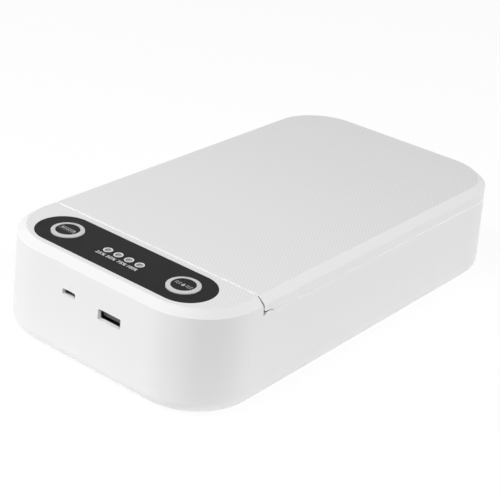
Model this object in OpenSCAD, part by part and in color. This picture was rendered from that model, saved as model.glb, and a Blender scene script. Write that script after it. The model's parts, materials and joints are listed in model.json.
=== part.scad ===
/* [Body] */
// Length of the box, control end to far end
body_l = 225; // [215:1:245]
// Width of the box at its base
body_w = 123.5; // [118:0.5:140]
// Height of the closed box on its feet
body_h = 46.4; // [46:0.2:54]
// Radius of the four corners seen from above
corner_r = 29.5; // [26:0.5:33]
// Lean of each side wall from its bottom to its top
draft = 1.8; // [0.6:0.1:2.4]
// Wall of the base casing and its cover
wall = 2.2; // [1.8:0.1:2.6]
// Width of the sloping edge round the top
edge_w = 3.5; // [2.5:0.1:4]
// Drop of the sloping edge round the top
edge_h = 2.7; // [1.8:0.1:3]
// Radius of the rounded edge round the bottom
bottom_r = 6; // [3:0.5:7]
// Height of the line where the bottom cover meets the shell
part_z = 12.2; // [11:0.1:14]
// Distance from the control end to the seam in front of the lid
seam_from_front = 36.1; // [35.5:0.1:39]

/* [Feet] */
// Diameter of a rubber foot
foot_d = 12; // [8:0.5:14]
// How far a foot stands out of the bottom
foot_h = 0.8; // [0.6:0.1:1.2]
// Depth of the recess that holds a foot
foot_sink = 0.7; // [0.4:0.1:0.9]

/* [Lid] */
// Height of the lid's side skirt
lid_drop = 7.4; // [7.2:0.1:8.4]
// Wall of the lid's skirt
lid_wall = 2; // [1.6:0.1:2.4]
// Thickness of the lid's top
lid_top = 1.8; // [1.5:0.1:2]
// Gap between the lid's front edge and the control housing
seam_gap = 0.5; // [0.4:0.1:1.1]
// Radius of the lid's front edge along the seam
lid_edge_r = 0.5; // [0.3:0.1:1.6]
// Bevel under the lid's front edge, which lets it turn
lid_bevel = 1.6; // [1.2:0.1:1.8]
// Thickness of the lid's inner liner
liner_t = 1.2; // [1:0.1:1.4]

/* [Hinge] */
// Depth of the hinge axis behind and below the lid's front edge
axis_in = 2.4; // [2.3:0.05:2.8]
// Diameter of a steel hinge pin
pin_d = 1.5; // [1.2:0.1:1.6]
// Length of a hinge pin
pin_l = 16; // [14:0.5:20]
// Radial clearance of a pin in the lid's knuckles
pin_clear = 0.05; // [0.03:0.01:0.08]
// Distance of each hinge from the middle
hinge_x = 42; // [38:0.5:42]
// Width of the upright ear that holds a pin
ear_w = 5; // [4:0.5:6]
// Radius of the rounded top of an ear
ear_r = 1.5; // [1.3:0.05:1.6]

/* [Chamber] */
// Distance from the base's side to the chamber
bowl_side = 17.8; // [17:0.2:21]
// Distance from the far end to the chamber
bowl_end = 15; // [14:0.5:30]
// Radius of the chamber's corners
bowl_r = 18; // [10:1:24]
// Height of the chamber's floor
floor_z = 15; // [14:0.2:20]
// Thickness of the chamber tray
tray_t = 1.6; // [1.2:0.1:2]
// Height of the ribs that carry the phone
rib_h = 2.5; // [1.5:0.1:4]
// Number of ribs that carry the phone
rib_count = 6; // [4:1:8]
// Thickness of a rib
rib_t = 1.6; // [1.2:0.1:2.4]
// Radius of the aroma cup sunk in the chamber's floor
cup_r = 10; // [8:0.5:11]
// Depth of the aroma cup
cup_depth = 5; // [4:0.2:6]

/* [Lamps] */
// Diameter of an ultraviolet tube
tube_d = 3.6; // [3:0.2:4]
// Distance from each end of the chamber to the end of a tube
tube_end = 17; // [14:0.5:25]
// Distance of each tube from the middle
tube_x = 26; // [20:0.5:30]
// Width of a lamp window
window_w = 14; // [11:0.5:16]
// Thickness of a quartz lamp window
window_t = 1.2; // [0.8:0.1:1.5]
// Thickness of the reflector sheet
reflector_t = 0.4; // [0.3:0.1:0.6]

/* [Control panel] */
// Length of the black panel
panel_l = 93.2; // [88:0.2:97]
// Width of the black panel
panel_w = 25; // [22:0.2:27]
// Thickness of the black panel
panel_t = 1; // [0.8:0.1:1.2]
// Distance from the control end to the middle of the panel
panel_from_front = 20.3; // [19.5:0.1:20.8]
// Sideways place of the panel's middle
panel_x = -0.5; // [-1:0.1:1]
// Distance of each button from the middle
button_x = 32.3; // [30:0.1:34]
// Outer diameter of a button
button_d = 14.2; // [13:0.1:16]
// Diameter of the black disc in a button
disc_d = 10.4; // [8:0.1:11]
// How far a button stands above the panel
button_rise = 0.65; // [0.6:0.05:1.2]
// How far a button travels
button_travel = 0.6; // [0.4:0.1:0.8]
// Gap round a button
button_gap = 0.2; // [0.15:0.05:0.3]
// Pitch of the four indicator lights
led_pitch = 5.9; // [5.5:0.1:6.5]
// Diameter of an indicator light
led_d = 4.1; // [3:0.1:4.8]

/* [Sockets] */
// Distance of the wide charging socket from the middle
wide_x = 11; // [9:0.1:15]
// Width inside the wide socket
wide_w = 12.5; // [12.4:0.1:12.8]
// Height inside the wide socket
wide_h = 5.1; // [5.1:0.1:5.4]
// Distance of the small power socket from the middle
small_x = -11.8; // [-16:0.1:-9]
// Width inside the small socket
small_w = 7; // [6.9:0.1:7.4]
// Height inside the small socket
small_h = 2; // [1.9:0.1:2.4]
// Sheet thickness of both sockets
socket_t = 0.3; // [0.2:0.05:0.4]

/* [Hidden] */
$fn = 64;

// small working clearances
fit = 0.15;
hole_fit = 0.05;
rim_gap = 0.05;
rim_edge = 0.25;
skirt_inset = 0.25;
flange_drop = 0.4;
part_gap = 0.02;
swing_gap = 0.1;
eps = 0.01;

// main levels and places
shell_z = foot_h;
top_z = body_h;
rim_z = top_z - lid_drop;
base_rim_z = rim_z - rim_gap;
front_y = -body_l/2;
back_y = body_l/2;
seam_y = front_y + seam_from_front;
house_y = seam_y - seam_gap/2;
lid_y = seam_y + seam_gap/2;
axis_y = lid_y + axis_in;
axis_z = top_z - axis_in;
panel_y = front_y + panel_from_front;
lean_rate = draft/(body_h - foot_h);
function lean(z) = lean_rate*(z - shell_z);

// chamber levels
flange_z = base_rim_z - flange_drop;
beam_z = rim_z - 1.4;
beam_y = axis_y + 2.4;
beam_h = 4;
tray_y = beam_y + 0.4;
bowl_w = body_w - 2*bowl_side;
bowl_near = tray_y + 4;
bowl_l = back_y - bowl_end - bowl_near;
bowl_y = bowl_near + bowl_l/2;
lamp_y = bowl_y;
tube_l = bowl_l - 2*tube_end;
cap_l = 8;
cap_d = tube_d + 1.2;
lower_lamp_z = floor_z - tray_t - window_t - cap_d/2 - 0.3;
liner_z = rim_z + 0.1;
upper_lamp_z = top_z - lid_top - hole_fit - cap_d/2;
trough_r = window_w/2;

// cover screws
screw_x = body_w/2 - wall - 8.4;
boss_r = 3.4;
screw_ys = [house_y - wall - boss_r - 0.7, 4, back_y - 31];
web_t = 1.8;
boss_z = part_z + 3;
screw_seat_z = shell_z + 4.4;
screw_r = 1.25;
head_r = 2.7;
head_h = 1.8;

// control stack under the panel
recess_z = top_z - panel_t;
skin_t = 2;
skin_z = recess_z - skin_t;
board_t = 1.6;
board_drop = 10.15;
board_z = skin_z - board_drop;
board_top = board_z + board_t;
board_l = 84;
board_w = 27;
board_r = 8;
board_y = front_y + wall + 2 + board_w/2;
switch_w = 6;
switch_h = 3.5;
plunger_r = 1.7;
plunger_up = 1;
flange_r = button_d/2 + 1;
flange_t = 1.4;
flange_top = skin_z - 0.1;
disc_t = 0.8;
disc_sink = 0.15;
ring_drop = 0.3;

// outlines and blocks
module round_rect(w, l, r) {
  square([w - 2*r, l], center = true);
  square([w, l - 2*r], center = true);
  for (sx = [-1, 1], sy = [-1, 1])
    translate([sx*(w/2 - r), sy*(l/2 - r)])
      circle(r);
}

module slab(w, l, r, z0, z1) {
  translate([0, 0, z0])
    linear_extrude(z1 - z0)
      round_rect(w, l, r);
}

module stadium(l, w) {
  square([l - w, w], center = true);
  for (s = [-1, 1])
    translate([s*(l - w)/2, 0])
      circle(w/2);
}

module rod(r, l) {
  rotate([0, 90, 0])
    cylinder(r = r, h = l, center = true);
}

// one side of the casing's section: steps are [height, inset]
function side(half, steps) = [for (s = steps) [half - lean(s[0]) - s[1], s[0]]];
function low(steps) = steps[0][0];
function high(steps) = steps[len(steps) - 1][0];

module half_section(half, steps) {
  polygon(concat([[0, low(steps)]], side(half, steps), [[0, high(steps)]]));
}

module full_section(half, steps) {
  pts = side(half, steps);
  n = len(pts);
  polygon(concat(pts, [for (i = [n - 1:-1:0]) [-pts[i][0], pts[i][1]]]));
}

// bites that round the section's lower corner on one side
module corner_bite(half) {
  edge = half - lean(shell_z + bottom_r);
  translate([edge - bottom_r, shell_z])
    difference() {
      translate([0, -1])
        square([bottom_r + 3, bottom_r + 1]);
      translate([0, bottom_r])
        circle(bottom_r);
    }
}

// the casing's body between the first and the last step
module casing(steps, rounded = false) {
  w = body_w/2;
  l = body_l/2;
  translate([0, l - corner_r, 0])
    rotate([90, 0, 0])
      linear_extrude(body_l - 2*corner_r)
        difference() {
          full_section(w, steps);
          if (rounded) {
            corner_bite(w);
            mirror([1, 0])
              corner_bite(w);
          }
        }
  translate([-(w - corner_r), 0, 0])
    rotate([90, 0, 90])
      linear_extrude(body_w - 2*corner_r)
        difference() {
          full_section(l, steps);
          if (rounded) {
            corner_bite(l);
            mirror([1, 0])
              corner_bite(l);
          }
        }
  for (q = [[1, 1, 0], [-1, 1, 90], [-1, -1, 180], [1, -1, 270]])
    translate([q[0]*(w - corner_r), q[1]*(l - corner_r), 0])
      rotate([0, 0, q[2]])
        rotate_extrude(angle = 90)
          difference() {
            half_section(corner_r, steps);
            if (rounded)
              corner_bite(corner_r);
          }
}

// everything between two planes across the box
module slice_y(y0, y1, z0 = -1, z1 = 100) {
  translate([-body_w, y0, z0])
    cube([2*body_w, y1 - y0, z1 - z0]);
}

module at_screws() {
  for (sx = [-1, 1], y = screw_ys)
    translate([sx*screw_x, y, 0])
      children();
}

module at_buttons() {
  for (s = [-1, 1])
    translate([panel_x + s*button_x, panel_y, 0])
      children();
}

module at_leds() {
  for (i = [-1.5:1:1.5])
    translate([panel_x + i*led_pitch, panel_y, 0])
      children();
}

module at_hinges() {
  for (s = [-1, 1])
    translate([s*hinge_x, axis_y, axis_z])
      children();
}

// two board screws sit outside the buttons in front, two between them behind
front_hole_x = board_l/2 - 4;
back_hole_x = button_x - 10.5;
board_hole_y = board_w/2 - 3.7;
module at_board_holes() {
  for (s = [-1, 1]) {
    translate([panel_x + s*front_hole_x, board_y - board_hole_y, 0])
      children();
    translate([panel_x + s*back_hole_x, board_y + board_hole_y, 0])
      children();
  }
}

// sockets, which hang under the board behind a thinner part of the wall
port_wall = 1.8;
socket_wall_y = front_y + port_wall + lean(board_z);
standoff = 0.6;
wide_z = board_z - standoff - socket_t - wide_h/2;
small_z = board_z - socket_t - small_h/2;
wide_l = 13.5;
small_l = 5.6;
wide_mouth = [wide_w - 0.2, wide_h - 0.4, 0.4];
small_mouth = [small_w + 0.3, small_h + 0.6, 0.9];

// a mouth is cut through the wall, with a pocket for its socket behind it
module port(x, z, size, w, h) {
  translate([x, front_y, z])
    rotate([90, 0, 0])
      linear_extrude(20, center = true)
        round_rect(size[0], size[1], size[2]);
  pocket = 2*socket_t + 0.6;
  translate([x - (w + pocket)/2, socket_wall_y, z - (h + pocket)/2])
    cube([w + pocket, wall, h + pocket]);
}

// the white casing
module main_shell() {
  color("white")
    difference() {
      union() {
        difference() {
          casing([[part_z, 0], [top_z - edge_h, 0], [top_z, edge_w]]);
          // chamber side above the rim, whose outer edge is bevelled
          difference() {
            slice_y(house_y, back_y + 1, base_rim_z - rim_edge);
            casing([[part_z, 0], [base_rim_z - rim_edge, 0], [base_rim_z, rim_edge]]);
          }
          // room for the lid's front edge to turn
          translate([0, axis_y, axis_z])
            rod(edge_swing_r, 2*body_w);
          // hollow under the controls
          intersection() {
            casing([[part_z - 1, wall], [skin_z, wall]]);
            slice_y(front_y, house_y - wall);
          }
          // hollow round the chamber tray
          intersection() {
            casing([[part_z - 1, wall], [top_z, wall]]);
            slice_y(house_y, back_y);
          }
        }
        // beam and ears that carry the hinge pins
        intersection() {
          casing([[part_z, 1], [top_z, 1]]);
          slice_y(house_y - 1, beam_y, beam_z - beam_h, beam_z);
        }
        at_hinges() {
          rod(ear_r, ear_w);
          translate([-ear_w/2, -ear_r, beam_z - axis_z - 1])
            cube([ear_w, 2*ear_r, axis_z - beam_z + 1]);
        }
        shell_bosses();
        board_posts();
        corner_blocks();
      }
      at_hinges()
        rod(pin_d/2, pin_l);
      panel_cuts();
      socket_cuts();
      thumb_scoop();
      at_screws()
        translate([0, 0, boss_z - 1])
          cylinder(r = screw_r + hole_fit, h = 13);
      at_tray_pegs()
        translate([0, 0, flange_z - tray_t - 6])
          cylinder(r = peg_r + hole_fit, h = 7);
      housing_back_edge();
    }
}

// the lid's front edge turns within this radius round the hinge
edge_swing_r = sqrt(2)*(axis_in - lid_edge_r) + lid_edge_r + swing_gap;

// low block on each side wall that stands in a cut-out of the lid's corner
block_z = rim_z + 1;
block_cut_z = block_z + 0.5;
block_front = lid_y + 0.1;
block_slope = 1.3;
block_back = lid_y + 4.7;
block_foot = block_back + block_slope + 0.3;
module profile_x(points) {
  rotate([90, 0, 90])
    linear_extrude(2*body_w, center = true)
      polygon(points);
}

module corner_blocks() {
  low_z = base_rim_z - 1;
  intersection() {
    difference() {
      casing([[part_z, 0], [block_z - rim_edge, 0], [block_z, rim_edge]]);
      casing([[part_z, wall], [top_z, wall]]);
    }
    profile_x([[block_front, low_z], [block_front, base_rim_z],
      [block_front + block_slope, block_z], [block_back, block_z],
      [block_foot, base_rim_z], [block_foot, low_z]]);
  }
}

// the cut-out in the lid, bevelled in front so that it turns clear of the block
block_bevel = 1;
module corner_cuts() {
  difference() {
    profile_x([[lid_y - 1, rim_z - 1], [lid_y - 1, block_cut_z + block_bevel + 1],
      [lid_y + block_bevel, block_cut_z], [block_back - 0.4, block_cut_z],
      [block_back + fit, block_z + fit], [block_foot + fit, rim_z], [block_foot + fit, rim_z - 1]]);
    casing([[part_z, wall + 0.5], [top_z, wall + 0.5]]);
  }
}

// bosses run from above the cover screws up to the tray's flange
module shell_bosses() {
  boss_top = flange_z - tray_t;
  intersection() {
    casing([[part_z, 1], [boss_top, 1]]);
    for (s = [-1, 1], y = screw_ys)
      translate([s*screw_x, y, boss_z]) {
        cylinder(r = boss_r, h = boss_top - boss_z);
        // web out to the side wall
        translate([s > 0 ? 0 : -12, -web_t/2, 0])
          cube([12, web_t, boss_top - boss_z]);
      }
  }
}

// posts under the panel that the main board is screwed to
module board_posts() {
  at_board_holes()
    translate([0, 0, board_top])
      cylinder(r = 2.6, h = skin_z - board_top + 0.5);
}

module panel_cuts() {
  translate([panel_x, panel_y, recess_z])
    linear_extrude(10)
      stadium(panel_l + 2*fit, panel_w + 2*fit);
  at_buttons()
    translate([0, 0, skin_z - 1])
      cylinder(d = button_d + 2*button_gap, h = 20);
  at_leds()
    translate([0, 0, skin_z - 1])
      cylinder(d = led_d + 2*fit, h = 20);
  at_board_holes()
    translate([0, 0, board_top - 1])
      cylinder(r = 0.9, h = 6);
}

module socket_cuts() {
  port(wide_x, wide_z, wide_mouth, wide_w, wide_h);
  port(small_x, small_z, small_mouth, small_w, small_h);
}

// hollow at the far end where a thumb lifts the lid
module thumb_scoop() {
  scoop_r = 40;
  translate([0, back_y - lean(base_rim_z) + scoop_r - 1.2, base_rim_z - 5])
    cylinder(r = scoop_r, h = 10);
}

module housing_back_edge() {
  bevel = 0.1;
  translate([0, house_y, top_z])
    rotate([45, 0, 0])
      cube([2*body_w, sqrt(2)*bevel, sqrt(2)*bevel], center = true);
}

// the bottom cover
module bottom_cover() {
  lip = 1.1;
  color("whitesmoke")
    difference() {
      union() {
        difference() {
          casing([[shell_z, 0], [part_z - part_gap, 0]], rounded = true);
          casing([[shell_z + wall, wall + 2.2], [part_z + 1, wall]]);
        }
        // lip inside the shell's wall
        difference() {
          casing([[part_z - 2, wall + fit], [part_z + 2.4, wall + fit]]);
          casing([[part_z - 3, wall + fit + lip], [part_z + 3, wall + fit + lip]]);
          translate([0, house_y, part_z + 2])
            cube([2*body_w, 2*wall + 1, 4], center = true);
        }
        intersection() {
          casing([[shell_z + 1, wall], [boss_z, wall + fit]]);
          at_screws()
            translate([0, 0, shell_z + 1])
              cylinder(r = boss_r + 0.4, h = boss_z - shell_z - 1);
        }
        inverter_posts();
        heater_post();
        lamp_cradles();
      }
      at_screws() {
        cylinder(r = head_r + 0.3, h = screw_seat_z);
        cylinder(r = screw_r + 0.25, h = 30);
      }
      at_feet()
        translate([0, 0, shell_z - 1])
          cylinder(d = foot_d + 2*fit, h = 1 + foot_sink);
      // slots that let the warm air of the inverter out
      for (i = [-3:3])
        translate([i*6, front_y + 30, shell_z - 1])
          linear_extrude(wall + 2)
            rotate([0, 0, 90])
              stadium(16, 2.2);
      at_inverter_holes()
        translate([0, 0, shell_z + wall])
          cylinder(r = 0.9, h = 30);
    }
}

foot_x = body_w/2 - 20;
foot_y = body_l/2 - 22;
module at_feet() {
  for (sx = [-1, 1], sy = [-1, 1])
    translate([sx*foot_x, sy*foot_y, 0])
      children();
}

module rubber_feet() {
  color("dimgray")
    at_feet()
      difference() {
        cylinder(d = foot_d, h = foot_h + foot_sink);
        translate([0, 0, -1])
          rotate_extrude()
            translate([foot_d/2 - 2.2, 0])
              square([0.8, 1.3]);
      }
}

// one screw: head below, shank above
module screw(head, head_t, shank, length) {
  difference() {
    cylinder(r = head, h = head_t);
    translate([0, 0, -1])
      linear_extrude(1 + head_t*0.6) {
        square([head*1.1, 0.5], center = true);
        square([0.5, head*1.1], center = true);
      }
  }
  translate([0, 0, head_t - eps])
    cylinder(r = shank, h = length);
}

module cover_screws() {
  color("silver")
    at_screws()
      translate([0, 0, screw_seat_z - head_h])
        screw(head_r, head_h, screw_r, boss_z + 9 - screw_seat_z);
}

module board_screws() {
  color("silver")
    at_board_holes()
      translate([0, 0, board_z - 1.2])
        screw(1.7, 1.2, 0.85, board_t + 3.6);
}

// the tray that forms the chamber
peg_r = 1.4;
module at_tray_pegs() {
  for (sx = [-1, 1], y = [screw_ys[1], screw_ys[2]])
    translate([sx*screw_x, y, 0])
      children();
}

module bowl(extra, z0, z1) {
  translate([0, bowl_y, 0])
    slab(bowl_w + 2*extra, bowl_l + 2*extra, bowl_r + extra, z0, z1);
}

cup_y = bowl_y - bowl_l/2 + 16;

module chamber_tray() {
  color("white")
    difference() {
      union() {
        // flange that reaches the shell's walls
        intersection() {
          casing([[flange_z - tray_t, wall + 0.3], [flange_z, wall + 0.3]]);
          slice_y(tray_y, back_y);
        }
        bowl(tray_t, floor_z - tray_t, flange_z);
        at_tray_pegs()
          translate([0, 0, flange_z - tray_t - 5])
            cylinder(r = peg_r, h = 6);
        // seats round the two lamp windows
        for (s = [-1, 1])
          translate([s*tube_x, lamp_y, 0])
            slab(window_w + 3, tube_l + 7, 3, floor_z - tray_t - window_t, floor_z);
        translate([0, cup_y, floor_z - cup_depth])
          cylinder(r = cup_r + 0.8, h = cup_depth);
      }
      difference() {
        bowl(0, floor_z, flange_z + 1);
        ribs();
      }
      for (s = [-1, 1])
        translate([s*tube_x, lamp_y, 0]) {
          slab(window_w - 2, tube_l + 2, 1, floor_z - 9, floor_z + 9);
          slab(window_w, tube_l + 4, 2, floor_z - 9, floor_z - tray_t);
        }
      translate([0, cup_y, floor_z - cup_depth - 1])
        cylinder(r = cup_r - 1, h = 20);
      translate([0, cup_y, floor_z - cup_depth + 0.8])
        cylinder(r = cup_r, h = 20);
    }
}

// ribs across the chamber's floor that carry the phone
module ribs() {
  first_y = cup_y + cup_r + 10;
  last_y = bowl_y + bowl_l/2 - 22;
  pitch = (last_y - first_y)/(rib_count - 1);
  mid_w = 10;
  side_w = 10;
  for (i = [0:rib_count - 1])
    translate([0, first_y + i*pitch, floor_z - 1]) {
      translate([-mid_w/2, 0, 0])
        cube([mid_w, rib_t, rib_h + 1]);
      for (s = [-1, 1])
        translate([s*(bowl_w/2 - side_w/2) - side_w/2, 0, 0])
          cube([side_w, rib_t, rib_h + 1]);
    }
}

module lamp_window(s) {
  color("lightcyan", 0.5)
    translate([s*tube_x, lamp_y, 0])
      slab(window_w - 2*fit, tube_l + 4 - 2*fit, 1.8,
        floor_z - tray_t - window_t, floor_z - tray_t);
}

// ultraviolet tubes with rubber end caps
module tube(s, z) {
  color("aliceblue", 0.6)
    translate([s*tube_x, lamp_y, z])
      rotate([90, 0, 0])
        cylinder(d = tube_d, h = tube_l - 2, center = true);
}

module tube_caps(z) {
  color("gainsboro")
    for (sx = [-1, 1], sy = [-1, 1])
      translate([sx*tube_x, lamp_y + sy*(tube_l - cap_l)/2, z])
        difference() {
          rotate([90, 0, 0])
            cylinder(d = cap_d, h = cap_l, center = true);
          translate([0, -sy, 0])
            rotate([90, 0, 0])
              cylinder(d = tube_d, h = cap_l, center = true);
        }
}

// a curved strip of bright sheet behind each tube
module trough(depth) {
  mid = (trough_r*trough_r - depth*depth)/(2*depth);
  r = mid + depth;
  rotate([90, 0, 0])
    linear_extrude(tube_l - 2*cap_l - 2, center = true)
      intersection() {
        difference() {
          translate([0, mid])
            circle(r);
          translate([0, mid])
            circle(r - reflector_t);
        }
        translate([-trough_r, -depth - 1])
          square([2*trough_r, depth + 1]);
      }
}

lower_trough_depth = 3;
lower_trough_z = lower_lamp_z - tube_d/2 + 1.2;
module lower_reflectors() {
  color("silver")
    for (s = [-1, 1])
      translate([s*tube_x, lamp_y, lower_trough_z])
        trough(lower_trough_depth);
}

upper_trough_depth = 2.2;
upper_trough_z = top_z - lid_top - 0.1 - upper_trough_depth;
module lid_reflectors() {
  color("silver")
    for (s = [-1, 1])
      translate([s*tube_x, lamp_y, upper_trough_z])
        rotate([0, 180, 0])
          trough(upper_trough_depth);
}

// cradles on the cover that carry the lower tubes and reflectors
module lamp_cradles() {
  cradle_top = lower_lamp_z;
  for (sx = [-1, 1], sy = [-1, 1])
    translate([sx*tube_x, lamp_y + sy*(tube_l - cap_l)/2, 0])
      difference() {
        translate([-cap_d/2 - 1.2, -1.5, shell_z + 1])
          cube([cap_d + 2.4, 3, cradle_top - shell_z - 1]);
        translate([0, 0, lower_lamp_z])
          rotate([90, 0, 0])
            cylinder(d = cap_d + 0.1, h = 10, center = true);
      }
  prop_top = lower_trough_z - lower_trough_depth;
  for (sx = [-1, 1], i = [-1, 1])
    translate([sx*tube_x - 1.5, lamp_y + i*30 - 1.5, shell_z + 1])
      cube([3, 3, prop_top - shell_z - 1]);
}

// aroma cup, its pad, cover grille and warming plate
module aroma_cup() {
  color("gainsboro")
    translate([0, cup_y, floor_z - cup_depth + 0.8])
      difference() {
        cylinder(r = cup_r - fit, h = cup_depth - 0.8);
        translate([0, 0, 0.8])
          cylinder(r = cup_r - fit - 0.8, h = 20);
      }
}

module aroma_pad() {
  color("ivory")
    translate([0, cup_y, floor_z - cup_depth + 1.6])
      cylinder(r = cup_r - 1.3, h = 2);
}

module aroma_grille() {
  color("white")
    translate([0, cup_y, floor_z - 1.4])
      difference() {
        union() {
          cylinder(r = cup_r - 1.1, h = 1.4);
          translate([0, 0, 1.4])
            cylinder(r = cup_r + 0.6, h = 0.8);
        }
        for (a = [0:60:300])
          rotate([0, 0, a])
            translate([5, 0, -1])
              cylinder(r = 1.3, h = 5);
        translate([0, 0, -1])
          cylinder(r = 1.3, h = 5);
      }
}

module aroma_heater() {
  color("goldenrod")
    translate([0, cup_y, floor_z - cup_depth + 0.8 - 1.2])
      cylinder(r = cup_r - 1.3, h = 1.2);
}

module heater_post() {
  top = floor_z - cup_depth + 0.8 - 1.2;
  translate([0, cup_y, shell_z + 1])
    cylinder(r = 4, h = top - shell_z - 1);
}

// black panel with its button and light holes
module control_panel() {
  color("#1c1c1e")
    difference() {
      translate([panel_x, panel_y, recess_z])
        linear_extrude(panel_t)
          stadium(panel_l, panel_w);
      at_buttons()
        translate([0, 0, skin_z])
          cylinder(d = button_d + 2*button_gap, h = 20);
      at_leds()
        translate([0, 0, skin_z])
          cylinder(d = led_d + 2*fit, h = 20);
    }
}

guide_bar_z = skin_z - 1.2;
guide_rim = 0.5;
guide_dip = 0.9;
led_h = 1.2;
module light_guide() {
  color("ghostwhite")
    union() {
      at_leds()
        difference() {
          translate([0, 0, board_top + led_h + 0.3])
            cylinder(d = led_d, h = top_z - board_top - led_h - 0.3);
          translate([0, 0, top_z - guide_dip])
            cylinder(d = led_d - 2*guide_rim, h = 2*guide_dip);
        }
      translate([panel_x, panel_y, guide_bar_z])
        linear_extrude(skin_z - guide_bar_z)
          round_rect(3*led_pitch + led_d + 3, 3, 1);
    }
}

module indicator_leds() {
  color("#e8f0ff")
    at_leds()
      translate([0, 0, board_top + led_h/2])
        cube([3.2, 1.6, led_h], center = true);
}

// buttons: white ring cap, black disc, switch plunger
disc_z = top_z + button_rise - disc_sink - disc_t;
stem_r = 2.2;
module button_cap(s) {
  color("white")
    translate([panel_x + s*button_x, panel_y, 0])
      difference() {
        union() {
          // skirt up to the panel's face, then the sloping ring
          translate([0, 0, flange_top - flange_t])
            cylinder(r = flange_r, h = flange_t);
          translate([0, 0, flange_top - flange_t])
            cylinder(d = button_d, h = top_z + button_rise - ring_drop - flange_top + flange_t);
          translate([0, 0, top_z + button_rise - ring_drop])
            cylinder(r1 = button_d/2, r2 = disc_d/2 + 0.2, h = ring_drop);
          translate([0, 0, board_top + switch_h + plunger_up])
            cylinder(r = stem_r, h = flange_top - board_top - switch_h - plunger_up);
        }
        translate([0, 0, disc_z])
          cylinder(d = disc_d + 0.1, h = 5);
      }
}

module button_disc(s) {
  color("#1c1c1e")
    translate([panel_x + s*button_x, panel_y, disc_z])
      cylinder(d = disc_d, h = disc_t);
}

plunger_in = 1.2;
module button_plunger(s) {
  color("#303030")
    translate([panel_x + s*button_x, panel_y, board_top + switch_h - plunger_in + button_travel])
      cylinder(r = plunger_r, h = plunger_in - button_travel + plunger_up);
}

module switch_bodies() {
  color("#2a2a2c")
    at_buttons()
      difference() {
        translate([-switch_w/2, -switch_w/2, board_top])
          cube([switch_w, switch_w, switch_h]);
        translate([0, 0, board_top + switch_h - plunger_in - 0.2])
          cylinder(r = plunger_r + 0.1, h = 5);
      }
}

// boards and what they carry
module main_board() {
  color("darkgreen")
    difference() {
      translate([panel_x, board_y, board_z])
        linear_extrude(board_t)
          round_rect(board_l, board_w, board_r);
      at_board_holes()
        translate([0, 0, board_z - 1])
          cylinder(r = 1.1, h = 5);
    }
}

// sheet metal box of a socket with its mouth to the front
socket_back = 1;
module socket_shell(x, z, w, h, l, r) {
  translate([x, socket_wall_y, z])
    rotate([-90, 0, 0])
      difference() {
        linear_extrude(l)
          round_rect(w + 2*socket_t, h + 2*socket_t, r + socket_t);
        translate([0, 0, -socket_back])
          linear_extrude(l)
            round_rect(w, h, r);
      }
}

module usb_a_shell() {
  tab = 1.6;
  color("silver")
    union() {
      socket_shell(wide_x, wide_z, wide_w, wide_h, wide_l, 0.3);
      // tabs between the shell and the board
      for (sx = [-1, 1], y = [3, wide_l - 3])
        translate([wide_x + sx*(wide_w/2 - 1), socket_wall_y + y, board_z - standoff/2 - eps])
          cube([tab, tab, standoff + 2*eps], center = true);
    }
}

module usb_a_tongue() {
  side_room = 1;
  front_room = 0.5;
  color("#3a3a3c")
    translate([wide_x - wide_w/2 + side_room, socket_wall_y + front_room, wide_z - wide_h/2 + 1.5])
      cube([wide_w - 2*side_room, wide_l - socket_back - front_room, 1.85]);
}

module micro_usb_shell() {
  color("silver")
    socket_shell(small_x, small_z, small_w, small_h, small_l, 0.8);
}

module micro_usb_tongue() {
  color("#3a3a3c")
    translate([small_x - 2, socket_wall_y + 0.2, small_z - 0.4])
      cube([4, small_l - socket_back - 0.2, 0.6]);
}

module hall_sensor() {
  color("#2a2a2c")
    translate([panel_x, board_y + board_w/2 - 2, board_top + 2])
      cube([4, 1.6, 4], center = true);
}

inverter_l = 84;
inverter_w = 22;
lead_z = lower_lamp_z + 0.8;
inverter_z = lead_z - board_t/2;
inverter_y = front_y + 21;
module at_inverter_holes() {
  for (sx = [-1, 1], sy = [-1, 1])
    translate([sx*(inverter_l/2 - 3), inverter_y + sy*(inverter_w/2 - 3), 0])
      children();
}

module inverter_posts() {
  at_inverter_holes() {
    translate([0, 0, shell_z + 1])
      cylinder(r = 2.2, h = inverter_z - shell_z - 1);
  }
}

module inverter_board() {
  color("darkgreen")
    difference() {
      translate([0, inverter_y, inverter_z])
        linear_extrude(board_t)
          round_rect(inverter_l, inverter_w, 2);
      at_inverter_holes()
        translate([0, 0, inverter_z - 1])
          cylinder(r = 1.1, h = 5);
    }
}

module inverter_transformer() {
  color("goldenrod")
    translate([-inverter_l/4, inverter_y, inverter_z + board_t]) {
      translate([-8, -7, 0])
        cube([16, 14, 2]);
      translate([0, 0, 1])
        cylinder(r = 4.5, h = 7);
      translate([-8, -7, 7])
        cube([16, 14, 2]);
    }
}

module inverter_capacitors() {
  color("#34406a")
    for (i = [0, 1, 2])
      translate([6 + i*9, inverter_y, inverter_z + board_t])
        cylinder(r = 3.2, h = 9);
}

// wires from the inverter board to both ends of each lower tube
lead_r = 0.7;
lead_turn = 4.5;
module lamp_leads() {
  board_edge = inverter_y + inverter_w/2;
  near_cap = lamp_y - tube_l/2;
  far_cap = lamp_y + tube_l/2;
  stub = 2;
  color("firebrick")
    for (s = [-1, 1])
      translate([s*tube_x, 0, lead_z]) {
        translate([0, near_cap, 0])
          rotate([90, 0, 0])
            cylinder(r = lead_r, h = near_cap - board_edge);
        translate([0, far_cap + stub, 0])
          rotate([90, 0, 0])
            cylinder(r = lead_r, h = stub);
        translate([s*lead_turn, far_cap + stub, 0])
          rotate_extrude(angle = 180)
            translate([lead_turn, 0])
              circle(lead_r);
        translate([s*2*lead_turn, far_cap + stub, 0])
          rotate([90, 0, 0])
            cylinder(r = lead_r, h = far_cap + stub - board_edge);
      }
}

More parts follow.
